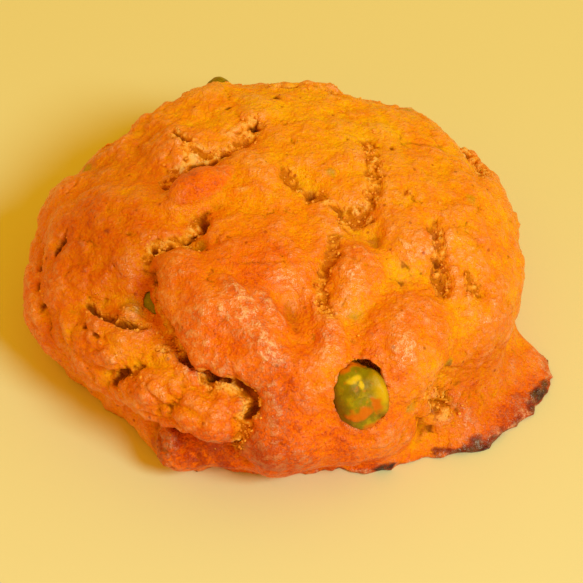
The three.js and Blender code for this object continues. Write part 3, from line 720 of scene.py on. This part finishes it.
crustFinish = {
    "broad": 7.0, "patchy": 2.2, "grain": 1.1, "fine": 0.55, "grit": 0.3,  # sizes of the mottling
    "speckCell": 3.4, "grainCell": 0.6, "crumbCell": 0.85,
    "toneMiddle": 0.42, "toneGain": 0.34,  # tone 0 lies here on the ramp of colours, and 1 so much further
    "stops": (0.05, 0.3, 0.52, 0.78, 1.0),  # where yellow, gold, orange, red and brown lie on it
    "crumbStops": (0.15, 0.45, 0.85),  # the same for crumb, from its tops down
    "index": 1.7, "softness": 0.12, "softRadius": (1.0, 0.36, 0.1), "softScale": 1.6,
    "coarseBump": (0.9, 0.6), "fineBump": (0.9, 0.15),  # strength, distance
}


def addBump(nodes, links, height, strength, distance, under=None):  # distance in millimetres
    bump = nodes.new("ShaderNodeBump")
    bump.inputs["Strength"].default_value = strength
    bump.inputs["Distance"].default_value = distance * mm
    links.new(height, bump.inputs["Height"])
    if under is not None:
        links.new(under, bump.inputs["Normal"])
    return bump.outputs["Normal"]


def crustMaterial():
    material, nodes, links, shader = newMaterial("bakedCrust")
    finish = crustFinish
    broad = noiseNode(nodes, links, finish["broad"], 4)
    patchy = noiseNode(nodes, links, finish["patchy"], 4, 0.65)
    fine = noiseNode(nodes, links, finish["fine"], 2, 0.6)
    tone = doMaths(nodes, links, "MULTIPLY_ADD", readField(nodes, "tone"), finish["toneGain"])
    tone.node.inputs[2].default_value = finish["toneMiddle"]
    grit = noiseNode(nodes, links, finish["grit"], 2)
    grain = noiseNode(nodes, links, finish["grain"], 3, 0.7)
    for texture, weight in ((broad, 0.7), (patchy, 0.65), (fine, 0.5), (grit, 0.4)):
        centred = doMaths(nodes, links, "SUBTRACT", texture, 0.5)
        weighted = doMaths(nodes, links, "MULTIPLY", centred, weight)
        tone = doMaths(nodes, links, "ADD", tone, weighted)
    baked = [crustColour[name] for name in ("yellow", "gold", "orange", "red", "brown")]
    colour = rampNode(nodes, links, tone, list(zip(finish["stops"], baked)))
    crumbField = readField(nodes, "crumb")
    speck = doMaths(nodes, links, "MULTIPLY", doMaths(nodes, links, "SUBTRACT", fine, 0.5), 0.7)
    cavity = doMaths(nodes, links, "ADD", readField(nodes, "cavity"), speck)
    # crumb colour from its tops down: lighter tops and darker hollows are painted light and shade, mottled
    # at random
    torn = [crustColour[name] for name in ("crumbLitTop", "crumb", "crumbShadedDeep")]
    crumbTone = rampNode(nodes, links, cavity, list(zip(finish["crumbStops"], torn)))
    bared = doMaths(nodes, links, "MULTIPLY", crumbField, 0.85)
    colour = mixColours(nodes, links, bared, colour, crumbTone)
    # painted shade: the colour darkens toward a deep brown in hollows and cracks
    hollow = readField(nodes, "hollow")
    depth = spread(nodes, links, hollow, 0.25, 1.0, 0, 0.85)
    colour = mixColours(nodes, links, depth, colour, crustColour["hollow"])
    raised = spread(nodes, links, cavity, 0.3, 0.65, 1, 0)
    mottled = spread(nodes, links, patchy, 0.3, 0.6, 0.3, 1)
    for kind, limit in (("green", mottled), ("skin", mottled), ("cream", raised)):
        speckled = doMaths(nodes, links, "MULTIPLY", readField(nodes, kind), limit)
        colour = mixColours(nodes, links, speckled, colour, crustColour[kind])
    ridge = readField(nodes, "ridge")
    # painted highlight: pale flecks mixed into the colour on ridges and gleaming places, where the light
    # would glint
    paintedHighlight = doMaths(nodes, links, "MULTIPLY", spread(nodes, links, grain, 0.43, 0.67, 0.05, 0.52),
                    doMaths(nodes, links, "ADD", ridge, 0.06))
    colour = mixColours(nodes, links, paintedHighlight, colour, crustColour["paintedHighlight"])
    speck = spread(nodes, links, cellNode(nodes, links, finish["speckCell"]), 0.05, 0.12, 0.6, 0.0)
    colour = mixColours(nodes, links, speck, colour, crustColour["speck"])
    burnt = readField(nodes, "burnt")
    charred = doMaths(nodes, links, "MULTIPLY", burnt, spread(nodes, links, patchy, 0.3, 0.55, 0.5, 1))
    browned = spread(nodes, links, charred, 0.1, 0.6, 0, 0.85)
    colour = mixColours(nodes, links, browned, colour, crustColour["umber"])
    blackened = spread(nodes, links, charred, 0.5, 0.95)
    colour = mixColours(nodes, links, blackened, colour, crustColour["burnt"])
    # painted shade on the left flank, and a darker bake at the foot
    colour = mixColours(nodes, links, readField(nodes, "shade"), colour, crustColour["shade"], "MULTIPLY")
    links.new(colour, shader.inputs["Base Color"])
    shine = spread(nodes, links, patchy, 0.35, 0.7, 0.26, 0.4)
    dull = doMaths(nodes, links, "MAXIMUM", crumbField, hollow)
    shine = doMaths(nodes, links, "ADD", shine, doMaths(nodes, links, "MULTIPLY", dull, 0.4), True)
    links.new(shine, shader.inputs["Roughness"])
    gloss = doMaths(nodes, links, "MULTIPLY", spread(nodes, links, grain, 0.42, 0.6, 0.2, 1),
                    spread(nodes, links, dull, 0.1, 0.8, 1, 0.15))
    gloss = doMaths(nodes, links, "MULTIPLY", gloss, spread(nodes, links, ridge, 0.0, 1.2, 0.3, 1.0))
    links.new(gloss, shader.inputs["Specular IOR Level"])
    shader.inputs["IOR"].default_value = finish["index"]
    shader.inputs["Specular Tint"].default_value = crustColour["sheen"]
    shader.inputs["Subsurface Weight"].default_value = finish["softness"]
    shader.inputs["Subsurface Radius"].default_value = finish["softRadius"]
    shader.inputs["Subsurface Scale"].default_value = finish["softScale"] * mm
    grains = doMaths(nodes, links, "MULTIPLY", cellNode(nodes, links, finish["grainCell"]), -0.7)
    rough = doMaths(nodes, links, "ADD", grains, grit)
    pits = doMaths(nodes, links, "MULTIPLY", cellNode(nodes, links, finish["crumbCell"]), -2.4)
    rough = doMaths(nodes, links, "ADD", rough, doMaths(nodes, links, "MULTIPLY", crumbField, pits))
    coarse = addBump(nodes, links, grain, *finish["coarseBump"])
    links.new(addBump(nodes, links, rough, *finish["fineBump"], coarse), shader.inputs["Normal"])
    return material


crustPiece, relief = dressCrust()
crustPiece.data.materials.append(crustMaterial())
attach(crustPiece, "root")
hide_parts("dough")
print("crust dressed:", len(crustPiece.data.polygons), "faces")

# Kernels: the solids made smooth, then dented, grooved and smeared with dough

kernelColour = {
    "green": fromScreen(144, 124, 0), "paintedLight": fromScreen(212, 162, 4), "olive": fromScreen(122, 92, 0),
    "yellow": fromScreen(222, 176, 8), "smear": fromScreen(206, 102, 2), "dark": fromScreen(120, 86, 0),
    "roughness": 0.45, "gloss": 0.25, "softness": 0.12, "softRadius": (0.6, 1.0, 0.15), "softScale": 1.0,
    "bump": (0.6, 0.2),  # strength, distance
}
kernelSwell = [(3.4, 0.22, 3), (1.2, 0.12, 5), (0.6, 0.05, 7)]  # size, height and seed of its unevenness

# Smears on a kernel, with its painted light on the right and painted shade on the left, in shares of its
# half
# length and half width: along to the front, across to the right.
smears = {
    "kernel_front": [
        {"at": (0.38, -0.1), "half": (0.24, 0.5), "kind": "dough"},
        {"at": (0.25, 0.38), "half": (0.36, 0.2), "kind": "dough"},
        {"at": (1.0, 0.2), "half": (0.2, 0.8), "kind": "dough"},
        {"at": (-1.0, 0.0), "half": (0.16, 0.8), "kind": "dough"},
        {"at": (-0.6, 0.0), "half": (0.12, 0.34), "kind": "pale"},
        {"at": (-0.42, 0.1), "half": (0.16, 0.1), "kind": "pale"},
        {"at": (0.0, 0.62), "half": (0.75, 0.42), "kind": "paintedLight"},
        {"at": (0.1, -0.9), "half": (0.95, 0.5), "kind": "dark"},
    ],
    "kernel_back": [{"at": (0.2, 0.2), "half": (0.5, 0.4), "kind": "paintedLight"}],
    "kernel_fold": [{"at": (0.9, 0.0), "half": (0.3, 0.9), "kind": "dough"}],
}


def dressKernel(node):
    piece = copyOfSolid(node, node.replace("kernel_", "kernel") + "Piece")
    rounded = piece.modifiers.new("rounded", "SUBSURF")
    rounded.levels = rounded.render_levels = 2
    applyModifiers(piece)
    spots, normals, _ = readMesh(piece.data)
    middle = spots.mean(axis=0)
    longWay = np.linalg.svd(spots - middle, full_matrices=False)[2][0]
    longWay *= -1 if longWay[1] > 0 else 1
    up = middle - np.array((2, 0, 8))
    up -= longWay * (up @ longWay)
    sideWay = np.cross(up / np.linalg.norm(up), longWay)
    sideWay *= -1 if sideWay[0] < 0 else 1
    along, across = (spots - middle) @ longWay, (spots - middle) @ sideWay
    along, across = along / abs(along).max(), across / abs(across).max()
    ragged = 0.5 * noiseOver(spots, 2.4, 15) + 0.35 * noiseOver(spots, 0.9, 19)
    height = np.full(len(spots), 0.25)
    for size, amount, seed in kernelSwell:
        height += amount * noiseOver(spots, size, seed)
    for kind in ("dough", "pale", "paintedLight", "dark"):
        field = np.zeros(len(spots))
        uneven, end = (0.6, 0.9) if kind in ("paintedLight", "dark") else (1.1, 0.4)  # light and shade end softly
        for smear in smears[node]:
            if smear["kind"] == kind:
                (front, right), (half, side) = smear["at"], smear["half"]
                away = np.hypot((along - front) / half, (across - right) / side)
                field = np.maximum(field, ramp(1.0 - away + uneven * ragged, -0.1, end))
        writeField(piece.data, kind, field)
        if kind == "dough":
            height += 0.2 * field * (0.6 + noiseOver(spots, 0.8, 23))
    if node == "kernel_front":  # the far right end sinks into the gap, and the skin's rim stands up
        height -= 1.6 * bell(along + 1.0, 0.5) * bell(across - 0.9, 0.6)
        height += 0.45 * bell(across - 0.72, 0.16) * ramp(1 - abs(along), 0.05, 0.4)
        height -= 0.3 * bell(across - 0.35, 0.2)
    writeSpots(piece.data, spots + normals * height[:, None])
    for face in piece.data.polygons:
        face.use_smooth = True
    return piece


def kernelMaterial():
    material, nodes, links, shader = newMaterial("pistachioKernel")
    broad = noiseNode(nodes, links, 4.5, 3)
    patchy = noiseNode(nodes, links, 1.3, 4, 0.6)
    colour = rampNode(nodes, links, broad, [(0.35, kernelColour["olive"]), (0.6, kernelColour["green"])])
    yellowed = spread(nodes, links, patchy, 0.5, 0.68, 0, 0.3)
    colour = mixColours(nodes, links, yellowed, colour, kernelColour["yellow"])
    dusted = spread(nodes, links, noiseNode(nodes, links, 0.7, 3), 0.55, 0.7, 0, 0.4)
    colour = mixColours(nodes, links, dusted, colour, kernelColour["smear"])
    # painted light and painted shade on the kernel, besides the smears of dough and pale nut
    for field, name in (("paintedLight", "paintedLight"), ("dark", "dark"), ("pale", "yellow"), ("dough", "smear")):
        colour = mixColours(nodes, links, readField(nodes, field), colour, kernelColour[name])
    links.new(colour, shader.inputs["Base Color"])
    shader.inputs["Roughness"].default_value = kernelColour["roughness"]
    shader.inputs["Specular IOR Level"].default_value = kernelColour["gloss"]
    shader.inputs["Specular Tint"].default_value = crustColour["sheen"]
    shader.inputs["Subsurface Weight"].default_value = kernelColour["softness"]
    shader.inputs["Subsurface Radius"].default_value = kernelColour["softRadius"]
    shader.inputs["Subsurface Scale"].default_value = kernelColour["softScale"] * mm
    dents = noiseNode(nodes, links, 0.6, 3)
    links.new(addBump(nodes, links, dents, *kernelColour["bump"]), shader.inputs["Normal"])
    return material


kernelFinish = kernelMaterial()
for node in kernelNodes:
    kernel = dressKernel(node)
    kernel.data.materials.append(kernelFinish)
    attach(kernel, "root")
    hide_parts(node)
print("kernels dressed")

# Crumbs that cling in the cracks

crumbs = {"count": 800, "seed": 7, "size": (0.12, 0.32), "bury": 0.4, "roughness": 0.7,
          "dark": fromScreen(232, 130, 12), "light": fromScreen(248, 168, 48)}


def addCrumbs():
    draw = random.Random(crumbs["seed"])
    weights = (0.15 * relief.grainy + relief.torn) * (1 - np.clip(1.5 * relief.dark, 0, 1))
    weights *= (relief.normals[:, 2] > -0.2) * (relief.moved[:, 2] > 2.5)
    chosen = draw.choices(range(len(weights)), weights=weights.tolist(), k=crumbs["count"])
    heap = bmesh.new()
    for index in chosen:
        size = draw.uniform(*crumbs["size"])
        made = bmesh.ops.create_icosphere(heap, subdivisions=1, radius=size * mm)["verts"]
        for corner in made:
            corner.co *= draw.uniform(0.75, 1.25)
        spot = relief.moved[index] + relief.normals[index] * size * (1 - crumbs["bury"] * 2)
        stretch = Matrix.Diagonal((draw.uniform(0.7, 1.3), draw.uniform(0.7, 1.3), draw.uniform(0.6, 1), 1))
        turn = draw.uniform(0, 6.28)
        axis = Vector((draw.uniform(-1, 1), draw.uniform(-1, 1), 1)).normalized()
        spin = Matrix.Rotation(turn, 4, axis)
        bmesh.ops.transform(heap, matrix=Matrix.Translation(Vector(spot) * mm) @ spin @ stretch, verts=made)
    mesh = bpy.data.meshes.new("crumbs")
    heap.to_mesh(mesh)
    heap.free()
    piece = bpy.data.objects.new("crumbs", mesh)
    scene.collection.objects.link(piece)
    return piece


def crumbMaterial():
    material, nodes, links, shader = newMaterial("crumb")
    patchy = noiseNode(nodes, links, 1.8, 3)
    share = spread(nodes, links, patchy, 0.35, 0.65)
    colour = mixColours(nodes, links, share, crumbs["dark"], crumbs["light"])
    links.new(colour, shader.inputs["Base Color"])
    shader.inputs["Roughness"].default_value = crumbs["roughness"]
    shader.inputs["Subsurface Weight"].default_value = 0.1
    shader.inputs["Subsurface Radius"].default_value = crustFinish["softRadius"]
    shader.inputs["Subsurface Scale"].default_value = 0.8 * mm
    return material


crumbPiece = addCrumbs()
crumbPiece.data.materials.append(crumbMaterial())
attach(crumbPiece, "root")
print("crumbs scattered")

# Floor and light

stage = {
    "floorSize": 3.0,  # metres
    # the floor is painted lighter in front and darker behind, a painted fall-off of the light
    "floorNear": fromScreen(233, 217, 170), "floorFar": fromScreen(226, 209, 150),
    "floorPaintedFalloff": (-0.08, 0.08),  # metres along Y
    "key": {"from": (0.76, -0.72, 0.92), "to": (0, 0, 0.015), "size": 0.5,  # metres
            "power": 13.2, "colour": (0.66, 1.0, 1.06)},
    "sky": 0.86,
    "skyColour": (1.0, 0.62, 0.035, 1),
}


def addFloor():
    shape = bmesh.new()
    bmesh.ops.create_grid(shape, x_segments=4, y_segments=4, size=stage["floorSize"] / 2)
    mesh = bpy.data.meshes.new("floor")
    shape.to_mesh(mesh)
    shape.free()
    floor = bpy.data.objects.new("floor", mesh)
    scene.collection.objects.link(floor)
    material, nodes, links, shader = newMaterial("paleFloor")
    place = nodes.new("ShaderNodeTexCoord")
    axes = nodes.new("ShaderNodeSeparateXYZ")
    links.new(place.outputs["Object"], axes.inputs["Vector"])
    # painted fall-off of the light: lighter to the front, darker to the back
    paintedFalloff = spread(nodes, links, axes.outputs["Y"], *stage["floorPaintedFalloff"])
    colour = mixColours(nodes, links, paintedFalloff, stage["floorNear"], stage["floorFar"])
    links.new(colour, shader.inputs["Base Color"])
    shader.inputs["Roughness"].default_value = 0.9
    shader.inputs["Specular IOR Level"].default_value = 0.2
    mesh.materials.append(material)


def addLight(name):
    setup = stage[name]
    data = bpy.data.lights.new(name, "AREA")
    data.shape = "DISK"
    data.size = setup["size"]
    data.energy = setup["power"]
    data.color = setup["colour"]
    lamp = bpy.data.objects.new(name, data)
    lamp.location = setup["from"]
    lamp.rotation_euler = (Vector(setup["to"]) - lamp.location).to_track_quat("-Z", "Y").to_euler()
    scene.collection.objects.link(lamp)


def addSky():
    world = bpy.data.worlds.new("sky")
    world.use_nodes = True
    world.node_tree.nodes["Background"].inputs["Color"].default_value = stage["skyColour"]
    world.node_tree.nodes["Background"].inputs["Strength"].default_value = stage["sky"]
    scene.world = world


addFloor()
addLight("key")
addSky()
print("floor and light set")
